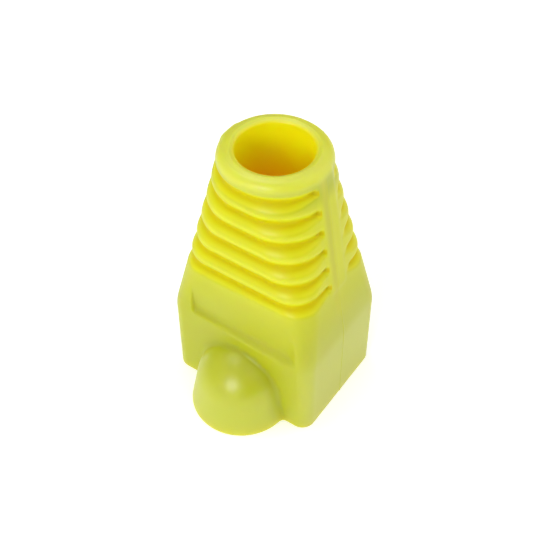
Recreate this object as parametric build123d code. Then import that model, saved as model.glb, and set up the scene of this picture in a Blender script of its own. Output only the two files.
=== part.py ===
from build123d import *
from math import acos, atan2, cos, degrees, hypot, sin
import os

# A strain relief boot moulded in one piece of soft plastic, for an eight-contact modular plug.
# Millimetres. The origin is on the cable's axis, in the plane of the open plug end.
# +Z runs up towards the cable's exit, X runs along the wide faces, and the bubble is on -Y.

# Plug end: the hollow that grips the plug, and the walls round it
plug_width = 11.7
plug_depth = 8.7
plug_corner = 0.6
plug_height = 7.0
side_wall = 0.9
box_height = 7.85
box_corner = 0.9

# Cable end: the round hole, the wall round it, its rim and its mouth
total_height = 23.9
cable_hole = 5.9
hole_length = 2.0
collar_wall = 1.2
collar_height = 1.4
rim_rounding = 0.45
mouth_rounding = 0.15

# Bending section: rounded ribs between grooves, which stop at a plain spine on each narrow side.
# There are as many grooves as fit above the shortest plain shoulder.
least_shoulder = 4.6
groove_pitch = 1.773
rib_width = 1.22
rib_flat = 0.12
groove_depth = 0.4
corner_growth = 0.24
least_flat = 0.06
spine_width = 2.1
spine_stand = 0.03

# Shallow wedge pressed into the front face, deepest at its ledge on top of the box
recess_width = 9.7
recess_height = 3.1
recess_depth = 0.38
recess_shift = 0.2
ledge_drop = 0.1

# Bubble over the plug's latch: a hollow dome that opens into the plug's hollow
bubble_foot = 4.26
bubble_reach = 4.09
bubble_height = 6.2
bubble_crown = 3.55
bubble_wall = 0.9
bubble_blend = 0.5

# Parting line of the mould, a fine ridge up each narrow side
seam_width = 0.16
seam_height = 0.04

# Extra length that carries a cutter clear of the faces it cuts through
overshoot = 1.0

# How near to a plane an edge counts as lying in it
nearness = 0.01

box_width = plug_width + 2 * side_wall
box_depth = plug_depth + 2 * side_wall
front_face = -box_depth / 2
collar_width = cable_hole + 2 * collar_wall + 2 * spine_stand
groove_width = groove_pitch - rib_width
rib_rounding = (rib_width - rib_flat) / 2
collar_bottom = total_height - collar_height
groove_count = int((collar_bottom - box_height - least_shoulder + rib_width) / groove_pitch)
shoulder_top = collar_bottom - (groove_count - 1) * groove_pitch - groove_width
bubble_centre = front_face - bubble_reach + bubble_foot


def outer_size(end_size, z):
    """A width or depth of the taper at a height, given its size at the box."""
    share = (z - box_height) / (total_height - box_height)
    return end_size + (collar_width - end_size) * share


def outline(z, inset=0.0):
    """The outer section at a height: a rectangle whose corners round up into a ring."""
    width = outer_size(box_width, z) - 2 * inset
    depth = outer_size(box_depth, z) - 2 * inset
    corner = box_corner + corner_growth * (z - box_height) - inset
    corner = min(corner, min(width, depth) / 2 - least_flat)
    return Pos(0, 0, z) * RectangleRounded(width, depth, corner)


def disc(bottom, top, inset=0.0, bottom_rounding=0.0, top_rounding=0.0):
    """A slice of the taper between two heights, with its outer edges rounded."""
    slice_ = loft([outline(bottom, inset), outline(top, inset)], ruled=True)
    if top_rounding > 0:
        slice_ = fillet(slice_.edges().group_by(Axis.Z)[-1], top_rounding)
    if bottom_rounding > 0:
        slice_ = fillet(slice_.edges().group_by(Axis.Z)[0], bottom_rounding)
    return slice_


def box():
    """The straight lower end that covers the plug, with the bubble on its front face."""
    body = extrude(RectangleRounded(box_width, box_depth, box_corner), box_height)
    body += dome(bubble_foot, bubble_height, bubble_crown)
    crease = body.edges().filter_by_position(Axis.Y, front_face - nearness, front_face + nearness)
    arch = [edge for edge in crease if edge.geom_type != GeomType.LINE]
    wall_above = box_height - bubble_height
    return fillet(arch, min(bubble_blend, wall_above - least_flat))


def ribbed_taper():
    """The shoulder, the grooved core with its ribs, and the collar round the cable."""
    body = disc(box_height, shoulder_top, top_rounding=rib_rounding)
    body += disc(shoulder_top, collar_bottom, inset=spine_stand + groove_depth)
    body += disc(collar_bottom, total_height, spine_stand, rib_rounding, rim_rounding)
    for number in range(1, groove_count):
        top = collar_bottom - number * groove_pitch + rib_width
        body += disc(top - rib_width, top, spine_stand, rib_rounding, rib_rounding)
    return body


def spines():
    """The plain strip up each narrow side: the middle slab of a taper that has no grooves."""
    plain = disc(shoulder_top - rib_width, total_height, top_rounding=rim_rounding)
    return plain & Pos(0, 0, total_height / 2) * Box(box_width, spine_width, total_height)


def seams():
    """The parting line: a thin plate through the middle that stands out as a ridge on both sides."""
    half_box = box_width / 2 + seam_height
    half_collar = collar_width / 2 + seam_height
    top = total_height - rim_rounding
    side = [(half_box, 0), (half_box, box_height), (half_collar, top)]
    points = side + [(-x, z) for x, z in reversed(side)]
    plate = Plane.XZ * make_face(Polyline(*points, close=True))
    return extrude(plate, seam_width / 2, both=True)


def dome(foot, height, crown, bottom=0.0):
    """The latch's dome: a ball-shaped crown on a skirt that flares out to its foot."""
    middle = height - crown
    lean = acos(crown / hypot(foot, middle)) - atan2(middle, foot)
    shoulder = (crown * cos(lean), middle + crown * sin(lean))
    flare = (foot - shoulder[0]) / shoulder[1]
    toe = (foot - flare * bottom, bottom)
    round_top = JernArc(shoulder, (-sin(lean), cos(lean)), crown, 90 - degrees(lean))
    sides = Polyline((0, height), (0, bottom), toe, shoulder)
    half = Plane.XZ * make_face(Curve() + [round_top, sides])
    return Pos(0, bubble_centre, 0) * revolve(half, Axis.Z)


def recess():
    """The cutter for the shallow wedge in the front face."""
    ledge_y = front_face + recess_depth
    ledge_z = box_height - ledge_drop
    top_y = -outer_size(box_depth, ledge_z + recess_height) / 2
    outside = front_face - overshoot
    tip_z = ledge_z + recess_height * (outside - ledge_y) / (top_y - ledge_y)
    points = [(ledge_y, ledge_z), (outside, tip_z), (outside, ledge_z)]
    wedge = Plane.YZ * make_face(Polyline(*points, close=True))
    return Pos(recess_shift, 0, 0) * extrude(wedge, recess_width / 2, both=True)


def hollow():
    """The plug's straight hollow, the throat that narrows from it, the cable hole and the bubble."""
    plug = RectangleRounded(plug_width, plug_depth, plug_corner)
    hole_bottom = total_height - hole_length
    hole = RectangleRounded(cable_hole, cable_hole, cable_hole / 2 - least_flat)
    body = Pos(0, 0, -overshoot) * extrude(plug, plug_height + overshoot)
    body += loft([Pos(0, 0, plug_height) * plug, Pos(0, 0, hole_bottom) * hole], ruled=True)
    body += Pos(0, 0, hole_bottom) * extrude(Circle(cable_hole / 2), hole_length + overshoot)
    inside = [size - bubble_wall for size in (bubble_foot, bubble_height, bubble_crown)]
    body += dome(*inside, bottom=-overshoot)
    return body


def boot():
    """The whole moulding."""
    body = box() + ribbed_taper() + spines() + seams()
    body -= recess()
    body -= hollow()
    rim = body.edges().group_by(Axis.Z)[-1].filter_by(GeomType.CIRCLE)
    mouth = rim.sort_by(SortBy.RADIUS)[0]
    return fillet(mouth, mouth_rounding)


def main():
    os.makedirs("parts", exist_ok=True)
    moulding = boot()
    export_step(moulding, "parts/boot.step")
    print("boot", len(moulding.solids()), "solid", round(moulding.volume, 1), "mm3", moulding.is_valid)


main()
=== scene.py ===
from math import acos, atan2, cos, hypot, pi, radians, sin

import bpy
import numpy as np
from mathutils import Matrix, Vector


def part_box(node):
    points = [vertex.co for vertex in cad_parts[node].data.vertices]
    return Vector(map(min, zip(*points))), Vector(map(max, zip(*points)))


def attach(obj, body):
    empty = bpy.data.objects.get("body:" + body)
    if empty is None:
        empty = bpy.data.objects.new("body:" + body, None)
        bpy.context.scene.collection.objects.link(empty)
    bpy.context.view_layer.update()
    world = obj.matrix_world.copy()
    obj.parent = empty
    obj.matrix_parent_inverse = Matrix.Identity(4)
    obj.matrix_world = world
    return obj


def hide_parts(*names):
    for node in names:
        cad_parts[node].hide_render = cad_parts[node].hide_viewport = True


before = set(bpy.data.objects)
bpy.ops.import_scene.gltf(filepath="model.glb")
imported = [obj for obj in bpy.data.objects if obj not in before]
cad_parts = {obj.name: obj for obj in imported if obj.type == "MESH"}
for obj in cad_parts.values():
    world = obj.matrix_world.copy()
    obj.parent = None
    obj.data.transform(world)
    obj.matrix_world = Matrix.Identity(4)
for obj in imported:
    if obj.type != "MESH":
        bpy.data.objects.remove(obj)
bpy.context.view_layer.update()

# A strain relief boot in soft yellow PVC, made as one skin that runs up the outside, over the rim, down
# through the hole and back to the foot. Lengths are in millimetres until the mesh is made.
MM = 0.001
boot_low, boot_high = [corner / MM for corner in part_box("boot")]

# Seam that the mould leaves up each narrow side, and the share of its height that is left on the taper
seam_height = 0.04
seam_half_width = 0.11
faint_seam = 0.3

# Outer sizes, from the frame
total_height = boot_high.z
half_width = boot_high.x - seam_height
half_depth = boot_high.y
bubble_tip = boot_low.y

# Plug end
side_wall = 0.9
box_height = 7.85
box_corner = 1.15
plug_corner = 0.6
plug_height = 7.0
foot_rounding = 0.15

# Cable end
hole_radius = 2.95
hole_length = 2.0
collar_radius = 4.15
rim_rounding = 0.62
rim_crown = 0.08
mouth_rounding = 0.25

# Taper from the box to the round collar: how fast its corners grow, and the flat that they leave. The
# softness is for where the taper starts, where its corners meet in the ring, and where the hollow's throat
# meets the bubble's hollow.
corner_growth = 0.22
least_flat = 0.06
kink_softness = 0.6

# Grooves, each with a soft lip and a steep wall under the rib above, and a long slope out to the rib below.
# Lip, wall and slope are how far below a groove's top each ends. The grooves narrow towards the spine on
# each narrow side, where they stop short in front of it and run out slowly behind it.
groove_count = 6
groove_pitch = 1.773
groove_top = 22.44
groove_lip = -0.52
groove_wall = 0.28
groove_slope = 1.10
groove_depth = 0.40
end_width = 0.25
end_depth = 0.75
narrowing = 2.4
front_fade = 0.25
back_fade = 1.4

# Painted shade in the notch at the front end of each groove, a dark wedge that opens towards the spine and is
# only coloured, not cut
notch_length = 0.9
notch_height = 0.45
notch_lip = -0.25
notch_edge = 0.5
notch_fade = 0.4
notch_tip = 0.01

# Spine, which stands out of the taper from its start to its end
spine_half_width = 0.95
spine_inset = 0.04
spine_softness = 0.35
spine_sink = 1.0
spine_start = 11.0
spine_end = 13.0

# Recess in the front face, crisp at its left end and faint at its right
recess_middle = 0.2
recess_half_width = 4.85
recess_height = 3.1
recess_depth = 0.40
crisp_softness = 0.1
faint_softness = 0.7
ledge_height = 7.75
ledge_softness = 0.9

# Bubble over the latch
bubble_foot = 4.26
bubble_height = 6.2
bubble_crown = 3.75
bubble_wall = 0.9
bubble_blend = 0.5
bubble_shift = 0.12
bubble_middle = bubble_tip + bubble_foot

# Columns of the skin: how many to a quarter of the way round, and where finer ones are added, in half
# columns and in shares of the seam's half width. Those at the recess's ends are drawn in a little.
quarter_columns = 80
half_columns = 2 * quarter_columns
groove_end_columns = np.arange(13, 38, 2)
recess_end_columns = np.arange(-7, 8)
recess_end_squeeze = 0.96
seam_columns = (-1, -0.6, -0.3, 0.3, 0.6, 1)

# Rows of the skin on each stretch, from the foot up the outside and then down the hole, and how far the
# ledge's rows reach to either side of it
arc_rows = 7
box_rows = 46
ledge_rows = 17
shoulder_rows = 15
lip_rows = 9
slope_rows = 9
crest_rows = 2
collar_rows = 4
rim_rows = 7
hole_rows = 4
throat_rows = 14
hollow_rows = 16
ledge_reach = 0.5

# How the skin is looked for: how far in and out from the plain taper, how far out from the axis, how often
# that stretch is halved, how far under the ledge the search is first square on, and the points that a
# column's profile is measured by
search_in = 2.0
search_out = 6.0
search_across = 12.0
halvings = 26
square_margin = 0.1
profile_points = 600

# Finish, as linear colours
box_yellow = (0.47, 0.51, 0.010, 1)
# Painted light: the bubble is brighter than the box, for light that comes through its thin wall
bubble_lit_yellow = (0.50, 0.555, 0.005, 1)
# Painted light: the taper is lighter than the box, for the stronger light higher up
taper_lit_yellow = (0.63, 0.66, 0.008, 1)
# Painted shade: the collar is darker than the taper
collar_shade_yellow = (0.48, 0.53, 0.010, 1)
# Painted sheen: the rim's pale, whitish yellow
rim_sheen_yellow = (0.66, 0.71, 0.06, 1)
# Painted light: the grooves' slopes are lighter and more saturated
slope_lit_yellow = (0.70, 0.71, 0.006, 1)
# Painted shade: the gold deep in the grooves
groove_shade_gold = (0.68, 0.62, 0.002, 1)
# Painted shade: the gold in creases
crease_shade_gold = (0.54, 0.54, 0.002, 1)
# Painted shade: the brown of the notches
notch_shade_brown = (0.58, 0.51, 0.002, 1)
spine_shade = (0.56, 0.57, 0.008, 1)
# Painted light: the hole's bright gold wall
hole_lit_gold = (1.0, 0.88, 0.004, 1)
# Painted shade: the darker amber deep in the hole
deep_shade_amber = (0.98, 0.64, 0.002, 1)
# Painted light: the glow deep in the hole
deep_painted_glow = (0.9, 0.5, 0.0, 1)
card_white = (0.97, 0.97, 0.97, 1)
card_shade = (0.96, 0.96, 0.96, 1)
white = (1, 1, 1, 1)
black = (0, 0, 0, 1)

# Where each colour comes in: over which heights, depths or distances, or shares of a groove or a crease.
# Below them are the middle of the spine's shade, how far a crease is seen from and how strong its painted
# shade is, and how far the clouds move the taper's lighter colour, its painted light, up and down.
taper_band = (8.5, 17)
bubble_band = (half_depth, half_depth + 0.6)
collar_band = (20.8, 22.3)
crease_band = (0.12, 0.6)
slope_band = (0.0, 0.3)
groove_band = (0.35, 0.95)
spine_band = (0.0, 0.6)
spine_shade_band = (9, 12)
rim_band = (22.8, 23.5)
hole_band = (0.0, 0.35)
amber_band = (2.0, 8.0)
glow_band = (1.0, 5.0)
spine_shade_y = -0.4
crease_reach = 1.0
crease_strength = 0.8
cloud_reach = 2

# Gloss of the plain skin, what the rim, the bubble and the box's narrow sides add to it, and where each of
# those comes in. Then where the grooves and the hole turn dull.
plain_gloss = 0.30
rim_gloss = 0.2
bubble_gloss = 0.32
side_gloss = 0.30
rim_gloss_band = (22, 23)
bubble_gloss_band = (half_depth, half_depth + 0.8)
side_gloss_band = (5.5, 6.6)
box_gloss_band = (6, 12)
groove_dull_band = (0.1, 0.8)
hole_dull_band = (0.1, 0.8)

# Sizes and heights of the skin's fine grain and slow ripple, the size of the colour's clouds and of the
# card's tooth, and the skin's roughness with what the grain adds
grain_size = 0.16
grain_height = 0.0025
ripple_size = 2.2
ripple_height = 0.02
cloud_size = 4.0
tooth_size = 3.0
plain_roughness = 0.45
grain_roughness = 0.1

# Camera at the photograph's view, and the room round it
lens = 66.397
view_azimuth = 34.30
view_elevation = 47.01
view_roll = 0.146
view_distance = 81.98 * MM
view_target = Vector((0.012, 0, 10.454)) * MM
near_limit = 0.001
floor_width = 2.0
lamp_distance = 0.3
room_light = 0.075
floor_light = 0.35


def soft_min(a, b, reach):
    """The smaller of two fields, blended where they come within a reach of each other."""
    near = np.maximum(reach - np.abs(a - b), 0) / reach
    return np.minimum(a, b) - near * near * reach / 4


def soft_max(a, b, reach):
    """The larger of two fields, blended in the same way."""
    return -soft_min(-a, -b, reach)


def soft_step(low, high, value):
    """Nought below low, one above high, and smooth between."""
    share = np.clip((value - low) / (high - low), 0, 1)
    return share * share * (3 - 2 * share)


def bump(offset, half_width):
    """A smooth swelling: one in the middle, and nought from half its width out."""
    share = np.clip(offset / half_width, -1, 1)
    return (1 - share * share) ** 2


def blend(a, b, share):
    """The value that lies a share of the way from one to another."""
    return a + (b - a) * share


def rounded_rectangle(x, y, half_x, half_y, corner):
    """How far a point is outside a rectangle with rounded corners, negative inside."""
    out_x = np.abs(x) - (half_x - corner)
    out_y = np.abs(y) - (half_y - corner)
    beyond = np.hypot(np.maximum(out_x, 0), np.maximum(out_y, 0))
    return beyond + np.minimum(np.maximum(out_x, out_y), 0) - corner


def dome(x, y, z, foot, height, crown):
    """The latch's dome: a ball-shaped crown on a skirt that flares out to its foot."""
    middle = height - crown
    lean = acos(crown / hypot(foot, middle)) - atan2(middle, foot)
    out = np.hypot(x - bubble_shift, y - bubble_middle)
    ball = np.hypot(out, z - middle) - crown
    skirt = (out - foot) * cos(lean) + z * sin(lean)
    return np.where((z - middle) * cos(lean) > out * sin(lean), ball, skirt)


def section(z):
    """The half sizes and the corner of the plain taper at a height."""
    rise = soft_max(z - box_height, 0 * z, kink_softness)
    share = rise / (total_height - box_height)
    half_x = blend(half_width, collar_radius, share)
    half_y = blend(half_depth, collar_radius, share)
    corner = box_corner + corner_growth * rise
    return half_x, half_y, soft_min(corner, np.minimum(half_x, half_y) - least_flat, kink_softness)


def groove_share(y, z):
    """How deep a groove is at a place, as a share of its full depth."""
    near = 1 - soft_step(spine_half_width, spine_half_width + narrowing, np.abs(y))
    low = groove_wall + blend(groove_slope - groove_wall, end_width, near)
    share = 0 * z
    for number in range(groove_count):
        below = groove_top - number * groove_pitch - z
        share = share + soft_step(groove_lip, groove_wall, below) * (1 - soft_step(groove_wall, low, below))
    fade = np.where(y < 0, front_fade, back_fade)
    return share * blend(1, end_depth, near) * soft_step(spine_half_width, spine_half_width + fade, np.abs(y))


def notch_shade_share(y, z):
    """How much painted shade a place gets in the notch at a groove's front end, which opens out towards the
    spine.
    """
    end = np.clip(1 - (-y - spine_half_width) / notch_length, 0, 1) * (y < -spine_half_width)
    share = 0 * z
    for number in range(groove_count):
        below = groove_top - number * groove_pitch - z
        lower = below / notch_height / (end + notch_tip)
        share = share + soft_step(notch_lip, 0, below) * (1 - soft_step(notch_edge, 1, lower))
    return share * soft_step(0, notch_fade, end)


def spine(x, y, z, half_x):
    """The flat face of the spine, which stands a little out of the round collar."""
    sunk = spine_inset + spine_sink * (1 - soft_step(spine_start, spine_end, z))
    return soft_max(np.abs(x) - half_x + sunk, np.abs(y) - spine_half_width, spine_softness)


def edge_softness(x):
    """How softly the recess's edges are rounded: crisp at its left end, and faint at its right."""
    return blend(crisp_softness, faint_softness, soft_step(-recess_half_width, recess_half_width, x))


def recess(x, y, z):
    """The shallow wedge in the front face, deepest at its ledge."""
    ledge_y = -half_depth + recess_depth
    share = (ledge_height + recess_height - box_height) / (total_height - box_height)
    top_y = -blend(half_depth, collar_radius, share)
    floor = ledge_y + (top_y - ledge_y) * (z - ledge_height) / recess_height
    ends = np.abs(x - recess_middle) - recess_half_width
    return soft_max(soft_max(ends, y - floor, edge_softness(x)), ledge_height - z, ledge_softness)


def seam(y, z):
    """The height of the mould's seam, which grows faint on the taper and runs out at the rim."""
    rim = soft_step(rim_rounding, 2 * rim_rounding, total_height - z)
    taper = blend(1, faint_seam, soft_step(box_height, spine_start, z))
    return seam_height * bump(y, seam_half_width) * rim * taper


def outside(x, y, z):
    """The outer skin, as a field that is negative inside the boot."""
    half_x, half_y, corner = section(z)
    body = rounded_rectangle(x, y, half_x, half_y, corner) + groove_depth * groove_share(y, z)
    body = soft_min(body, spine(x, y, z, half_x), spine_softness)
    body = soft_min(body, dome(x, y, z, bubble_foot, bubble_height, bubble_crown), bubble_blend)
    return soft_max(body, -recess(x, y, z), edge_softness(x)) - seam(y, z)


def inside(x, y, z):
    """The hollow: the plug's box, the throat that narrows to the hole, and the dome's hollow."""
    share = np.clip((z - plug_height) / (total_height - hole_length - plug_height), 0, 1)
    half_x = blend(half_width - side_wall, hole_radius, share)
    half_y = blend(half_depth - side_wall, hole_radius, share)
    throat = rounded_rectangle(x, y, half_x, half_y, blend(plug_corner, hole_radius, share))
    sizes = [size - bubble_wall for size in (bubble_foot, bubble_height, bubble_crown)]
    return soft_min(throat, dome(x, y, z, *sizes), kink_softness)


def outline_point(turn, z):
    """The point that lies a number of quarter turns round the plain taper, and the way it faces."""
    half_x, half_y, corner = section(z)
    quarter = np.floor(turn)
    along = turn - quarter
    odd = quarter % 2 == 1
    along = np.where(odd, 1 - along, along)
    flat_x = half_x - corner
    flat_y = half_y - corner
    way = along * (flat_x + flat_y + corner * pi / 2)
    angle = np.clip((way - flat_y) / corner, 0, pi / 2)
    past = np.maximum(way - flat_y - corner * pi / 2, 0)
    face_x = np.cos(angle)
    face_y = np.sin(angle)
    x = flat_x - past + corner * face_x
    y = np.minimum(way, flat_y) + corner * face_y
    side_x = np.where((quarter == 1) | (quarter == 2), -1, 1)
    side_y = np.where(quarter >= 2, -1, 1)
    return side_x * x, side_y * y, side_x * face_x, side_y * face_y


def root(field, start, way, z, low, high, level):
    """Where along a line a field reaches a level, found by halving."""
    low = np.full(z.shape, low)
    high = np.full(z.shape, high)
    for _ in range(halvings):
        middle = (low + high) / 2
        beyond = field(start[0] + middle * way[0], start[1] + middle * way[1], z) > level
        high = np.where(beyond, middle, high)
        low = np.where(beyond, low, middle)
    return np.array([start[0] + low * way[0], start[1] + low * way[1], z])


def outer_points(turn, z, inset=0.0):
    """Points on the outer skin, looked for from the axis out by the bubble and square on above it."""
    x, y, face_x, face_y = outline_point(turn, z)
    away = np.hypot(x, y)
    square = soft_step(bubble_height, ledge_height - square_margin, z)
    way = np.array([blend(x / away, face_x, square), blend(y / away, face_y, square)])
    way = way / np.hypot(*way)
    return root(outside, (x, y), way, z, -search_in, search_out, -inset)


def inner_points(turn, z, inset=0.0):
    """Points on the hollow's wall, looked for from the axis out."""
    x, y, _, _ = outline_point(turn, z)
    away = np.hypot(x, y)
    return root(inside, (0 * x, 0 * y), (x / away, y / away), z, 0.0, search_across, inset)


def columns():
    """Where the skin's columns run, in quarter turns, closer together where the skin changes fast."""
    plain = np.arange(0, 4, 1 / quarter_columns)
    half_x, half_y, corner = section(np.array(0.0))
    quarter = half_x + half_y - 2 * corner + corner * pi / 2
    seam_share = np.array(seam_columns) * seam_half_width / quarter
    groove_ends = groove_end_columns / half_columns
    recess_ends = recess_end_columns / half_columns
    finer = [seam_share, 2 + seam_share, 2 + groove_ends, 4 - groove_ends]
    for end in (recess_middle - recess_half_width, recess_middle + recess_half_width):
        finer.append(3 + end / quarter * recess_end_squeeze + recess_ends)
    return np.unique(np.round(np.mod(np.concatenate([plain, *finer]), 4), 4))


def groove_heights():
    """Heights of rows over all the grooves, closest together on their walls."""
    below = np.concatenate([
        np.linspace(groove_lip, groove_wall, lip_rows, endpoint=False),
        np.linspace(groove_wall, groove_slope, slope_rows, endpoint=False),
        np.linspace(groove_slope, groove_pitch + groove_lip, crest_rows, endpoint=False),
    ])
    tops = groove_top - groove_pitch * np.arange(groove_count)
    return np.sort((tops[:, None] - below).ravel())


def even_heights(points, turn, low, high, count):
    """Heights that cut each column's profile into equal lengths, so that the dome gets its share."""
    heights = np.linspace(low, high, profile_points)
    grid_turn, grid_z = np.meshgrid(turn, heights)
    profile = points(grid_turn, grid_z)
    steps = np.sqrt((np.diff(profile, axis=1) ** 2).sum(axis=0))
    length = np.vstack([0 * steps[:1], np.cumsum(steps, axis=0)])
    wanted = np.linspace(0, 1, count)
    return np.array([np.interp(wanted * line[-1], line, heights) for line in length.T]).T


def outer_skin(turn):
    """The skin's points row by row, from the foot up the outside and over the rim to the hole's mouth."""
    flat = np.ones_like(turn)
    arc = np.radians(np.linspace(0, 90, arc_rows))
    rows = []
    for a in arc[:-1:2]:
        rows.append(outer_points(turn, foot_rounding * (1 - cos(a)) * flat, foot_rounding * (1 - sin(a))))

    below_ledge = ledge_height - ledge_reach
    above_ledge = ledge_height + ledge_reach
    ribbed = groove_heights()
    rim_top = total_height - rim_crown
    heights = list(even_heights(outer_points, turn, foot_rounding, below_ledge, box_rows))
    heights += list(np.linspace(below_ledge, above_ledge, ledge_rows)[1:])
    heights += list(np.linspace(above_ledge, ribbed[0], shoulder_rows)[1:-1])
    heights += list(ribbed)
    heights += list(np.linspace(ribbed[-1], rim_top - rim_rounding, collar_rows)[1:])
    rows += [outer_points(turn, z * flat) for z in heights]

    for a in arc[1:]:
        z = rim_top - rim_rounding * (1 - sin(a))
        rows.append(outer_points(turn, z * flat, rim_rounding * (1 - cos(a))))
    edge = rows[-1][:2]
    mouth = (hole_radius + mouth_rounding) * edge / np.hypot(*edge)
    for share in np.linspace(0, 1, rim_rows)[1:]:
        x, y = blend(edge, mouth, share)
        crown = rim_crown * (1 - (2 * share - 1) ** 2)
        rows.append(np.array([x, y, (rim_top + crown) * flat]))
    return np.array(rows)


def inner_skin(turn, mouth):
    """The skin's points row by row, from the hole's mouth down the hollow to the foot."""
    flat = np.ones_like(turn)
    arc = np.radians(np.linspace(0, 90, arc_rows))
    way = mouth[:2] / np.hypot(*mouth[:2])
    mouth_z = mouth[2][0]
    rows = []
    for a in arc[1:]:
        x, y = (hole_radius + mouth_rounding * (1 - sin(a))) * way
        rows.append(np.array([x, y, (mouth_z - mouth_rounding * (1 - cos(a))) * flat]))

    hole_bottom = total_height - hole_length
    heights = list(np.linspace(mouth_z - mouth_rounding, hole_bottom, hole_rows)[1:])
    heights += list(np.linspace(hole_bottom, plug_height, throat_rows)[1:])
    heights += list(even_heights(inner_points, turn, foot_rounding, plug_height, hollow_rows)[::-1][1:])
    rows += [inner_points(turn, z * flat) for z in heights]
    for a in arc[-3::-2]:
        rows.append(inner_points(turn, foot_rounding * (1 - cos(a)) * flat, foot_rounding * (1 - sin(a))))
    return np.array(rows)


def boot_mesh():
    """The closed skin in quads, in metres. Each point knows its depth in the hole, its share of a groove and
    its share of a notch's painted shade.
    """
    turn = columns()
    outer = outer_skin(turn)
    inner = inner_skin(turn, outer[-1])
    points = np.concatenate([outer, inner])
    depth = np.concatenate([0 * outer[:, 2], total_height - inner[:, 2]])
    groove = np.concatenate([groove_share(outer[:, 1], outer[:, 2]), 0 * inner[:, 2]])
    notch = np.concatenate([notch_shade_share(outer[:, 1], outer[:, 2]), 0 * inner[:, 2]])
    number = np.arange(depth.size).reshape(depth.shape)
    right = np.roll(number, -1, axis=1)
    above = np.roll(number, -1, axis=0)
    above_right = np.roll(above, -1, axis=1)
    quads = np.stack([number, right, above_right, above], axis=-1).reshape(-1, 4)
    mesh = bpy.data.meshes.new("moulded_skin")
    mesh.from_pydata((points.transpose(0, 2, 1).reshape(-1, 3) * MM).tolist(), [], quads.tolist())
    mesh.shade_smooth()
    for name, values in (("depth_inside", depth), ("groove_share", groove), ("notch_shade_share", notch)):
        mesh.attributes.new(name, "FLOAT", "POINT").data.foreach_set("value", values.ravel())
    return mesh


class Amount:
    """A number that varies over a material, whose sums add the material's Math nodes."""

    def __init__(self, finish, socket):
        self.finish = finish
        self.socket = socket

    def sum(self, operation, first, second):
        return self.finish.node("Math", {"operation": operation}, {0: first, 1: second})

    def __add__(self, other):
        return self.sum("ADD", self, other)

    def __sub__(self, other):
        return self.sum("SUBTRACT", self, other)

    def __rsub__(self, other):
        return self.sum("SUBTRACT", other, self)

    def __mul__(self, other):
        return self.sum("MULTIPLY", self, other)

    __radd__ = __add__
    __rmul__ = __mul__

    def ramp(self, low, high):
        """Nought up to the low value, one from the high one, and smooth between."""
        ends = {"Value": self, "From Min": low, "From Max": high}
        return self.finish.node("MapRange", {"interpolation_type": "SMOOTHSTEP"}, ends)


class Finish:
    """One material and its nodes."""

    def __init__(self, name):
        self.material = bpy.data.materials.new(name)
        self.material.use_nodes = True
        self.tree = self.material.node_tree
        self.tree.nodes.clear()

    def node(self, kind, settings, sockets, output=0):
        """A node of a kind: its settings first, then its sockets' values or links."""
        node = self.tree.nodes.new("ShaderNode" + kind)
        for name, value in settings.items():
            setattr(node, name, value)
        for name, value in sockets.items():
            if isinstance(value, Amount):
                self.tree.links.new(value.socket, node.inputs[name])
            else:
                node.inputs[name].default_value = value
        if node.outputs:
            return Amount(self, node.outputs[output])

    def mix(self, first, second, share):
        """A colour that goes from one to another. The Mix node takes them on its sockets 6 and 7."""
        return self.node("Mix", {"data_type": "RGBA"}, {"Factor": share, 6: first, 7: second}, 2)

    def attribute(self, name):
        """A number that the mesh holds at each point."""
        return self.node("Attribute", {"attribute_name": name}, {}, "Fac")

    def place(self, axis):
        """Where a point of the surface is along an axis, in millimetres."""
        point = self.node("TexCoord", {}, {}, "Object")
        return self.node("SeparateXYZ", {}, {"Vector": point}, axis) * (1 / MM)

    def away(self, axis, middle=0.0):
        """How far a point of the surface is, to either side, from a plane across an axis."""
        return self.node("Math", {"operation": "ABSOLUTE"}, {0: self.place(axis) - middle})

    def openness(self, reach):
        """One on open skin, and down to nought deep in a crease, seen over a reach in millimetres."""
        settings = {"only_local": True, "samples": 16}
        return self.node("AmbientOcclusion", settings, {"Distance": reach * MM}, "AO")

    def noise(self, size, detail):
        """Cloudy noise from nought to one whose lumps are about a size, in millimetres."""
        point = self.node("TexCoord", {}, {}, "Object")
        return self.node("TexNoise", {}, {"Vector": point, "Scale": 1 / (size * MM), "Detail": detail})

    def surface(self, sockets):
        """The shader, which ends the material."""
        shader = self.node("BsdfPrincipled", {}, sockets)
        self.node("OutputMaterial", {}, {"Surface": shader})
        return self.material


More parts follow.
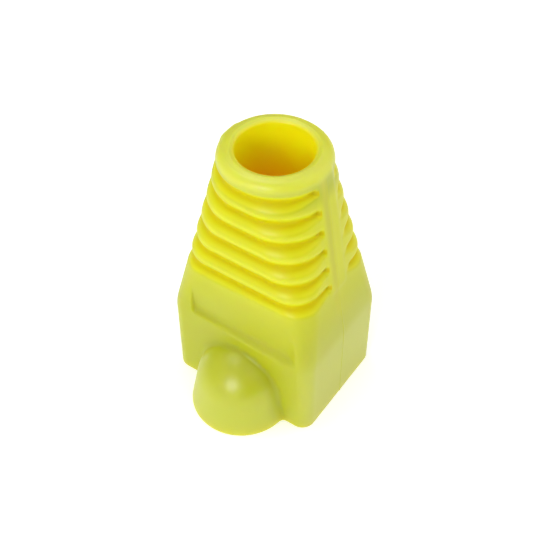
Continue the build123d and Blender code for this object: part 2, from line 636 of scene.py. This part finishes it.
def soft_yellow_pvc():
    """Semi-matt yellow PVC, into which light goes a little way. Its colour also holds painted light and
    shade: gold shade in the grooves, creases and notches, lit yellow on the groove slopes, the bubble and the
    taper, a darker collar, a pale sheen on the rim, and a lit gold hole that turns to amber shade and glows
    deep down.
    """
    finish = Finish("soft_yellow_pvc")
    openness = finish.openness(crease_reach)
    depth = finish.attribute("depth_inside")
    groove = finish.attribute("groove_share")
    notch = finish.attribute("notch_shade_share")
    height = finish.place("Z")
    forward = finish.away("Y")
    sideways = finish.away("X")
    cloud = finish.noise(cloud_size, detail=3.0)
    grain = finish.noise(grain_size, detail=2.0)
    ripple = finish.noise(ripple_size, detail=1.0)

    # Painted shade: gold in creases, the stronger the less open the skin is
    crease = crease_strength * (1 - openness).ramp(*crease_band)
    up_spine = (1 - finish.away("Y", spine_shade_y).ramp(*spine_band)) * height.ramp(*spine_shade_band)
    # Painted light: lighter up the taper than on the box, where less light falls; clouds make the change
    # uneven
    colour = finish.mix(box_yellow, taper_lit_yellow, (height + cloud_reach * cloud).ramp(*taper_band))
    # Painted light: the bubble is brighter and greener than the box
    colour = finish.mix(colour, bubble_lit_yellow, forward.ramp(*bubble_band))
    # Painted shade: the top of the taper and the collar are darker than the rest of the taper
    colour = finish.mix(colour, collar_shade_yellow, height.ramp(*collar_band))
    colour = finish.mix(colour, crease_shade_gold, crease)
    # Painted light: each groove's outer slope is lighter and more saturated than the skin
    colour = finish.mix(colour, slope_lit_yellow, groove.ramp(*slope_band))
    # Painted shade: gold deep in each groove
    colour = finish.mix(colour, groove_shade_gold, groove.ramp(*groove_band))
    # Painted shade: a dark brown wedge at each groove's front end, by the spine
    colour = finish.mix(colour, notch_shade_brown, notch)
    colour = finish.mix(colour, spine_shade, up_spine)
    # Painted sheen: the rim is paler and whiter than the collar below it
    colour = finish.mix(colour, rim_sheen_yellow, height.ramp(*rim_band))
    # Painted light: the hole's wall is a bright, lit gold
    colour = finish.mix(colour, hole_lit_gold, depth.ramp(*hole_band))
    # Painted shade: deep in the hole the gold turns to a darker amber
    colour = finish.mix(colour, deep_shade_amber, depth.ramp(*amber_band))

    gloss = plain_gloss + rim_gloss * height.ramp(*rim_gloss_band)
    gloss = gloss + bubble_gloss * forward.ramp(*bubble_gloss_band)
    gloss = gloss + side_gloss * sideways.ramp(*side_gloss_band) * (1 - height.ramp(*box_gloss_band))
    open_skin = (1 - groove.ramp(*groove_dull_band)) * (1 - notch) * openness
    open_skin = open_skin * (1 - depth.ramp(*hole_dull_band))
    relief = grain_height * grain + ripple_height * ripple
    return finish.surface({
        "Base Color": colour,
        "Roughness": plain_roughness + grain_roughness * grain,
        "Normal": finish.node("Bump", {}, {"Height": relief, "Distance": MM, "Strength": 1.0}, "Normal"),
        "Specular IOR Level": 0.1,
        "Coat Weight": open_skin * gloss,
        "Coat Roughness": 0.38,
        "Coat IOR": 1.9,
        # Painted light: a faint orange glow deep in the hole, where there is no lamp
        "Emission Color": finish.mix(black, deep_painted_glow, depth.ramp(*glow_band)),
        "Emission Strength": 0.045,
        "Subsurface Weight": 1.0,
        "Subsurface Radius": (1.0, 0.75, 0.04),
        "Subsurface Scale": 2.0 * MM,
    })


def pale_floor():
    """Plain white card, lit a little from below."""
    finish = Finish("white_card")
    return finish.surface({
        "Base Color": finish.mix(card_white, card_shade, finish.noise(tooth_size, detail=2.0)),
        "Roughness": 0.9,
        "Specular IOR Level": 0.0,
        "Emission Color": white,
        "Emission Strength": floor_light,
    })


def add(name, data):
    """An object at the origin, in the scene."""
    thing = bpy.data.objects.new(name, data)
    bpy.context.scene.collection.objects.link(thing)
    return thing


def floor():
    """The card that the boot stands on."""
    half = floor_width / 2
    mesh = bpy.data.meshes.new("floor")
    corners = [(-half, -half, 0), (half, -half, 0), (half, half, 0), (-half, half, 0)]
    mesh.from_pydata(corners, [], [(0, 1, 2, 3)])
    mesh.materials.append(pale_floor())
    return add("floor", mesh)


def towards(azimuth, elevation, distance, target):
    """A place seen from a target at an angle, turned to face it; azimuth 0 is the front."""
    turn = Matrix.Rotation(radians(azimuth), 4, "Z") @ Matrix.Rotation(radians(90 - elevation), 4, "X")
    return Matrix.Translation(target) @ turn @ Matrix.Translation((0, 0, distance))


def lamp(name, azimuth, elevation, size, power, colour=(1, 1, 1)):
    """A square soft box that faces the boot."""
    light = bpy.data.lights.new(name, "AREA")
    light.color = colour
    light.energy = power
    light.size = size
    add(name, light).matrix_world = towards(azimuth, elevation, lamp_distance, view_target)


def camera():
    """The photograph's view."""
    data = bpy.data.cameras.new("camera")
    data.lens = lens
    data.clip_start = near_limit
    viewer = add("camera", data)
    roll = Matrix.Rotation(radians(view_roll), 4, "Z")
    viewer.matrix_world = towards(view_azimuth, view_elevation, view_distance, view_target) @ roll
    bpy.context.scene.camera = viewer


def studio():
    """The white room round the boot."""
    world = bpy.data.worlds.new("white_room")
    world.use_nodes = True
    room = world.node_tree.nodes["Background"]
    room.inputs["Color"].default_value = white
    room.inputs["Strength"].default_value = room_light
    bpy.context.scene.world = world
    bpy.context.scene.view_settings.view_transform = "Standard"
    lamp("overhead_box", azimuth=-105, elevation=72, size=0.15, power=0.22)
    lamp("front_box", azimuth=9, elevation=27, size=0.12, power=0.40)
    lamp("left_box", azimuth=-50, elevation=45, size=0.50, power=0.34)
    lamp("back_box", azimuth=130, elevation=45, size=0.50, power=0.76, colour=(1.0, 0.97, 0.94))


boot = add("moulded_boot", boot_mesh())
boot.data.materials.append(soft_yellow_pvc())
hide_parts("boot")
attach(boot, "root")
floor()
camera()
studio()
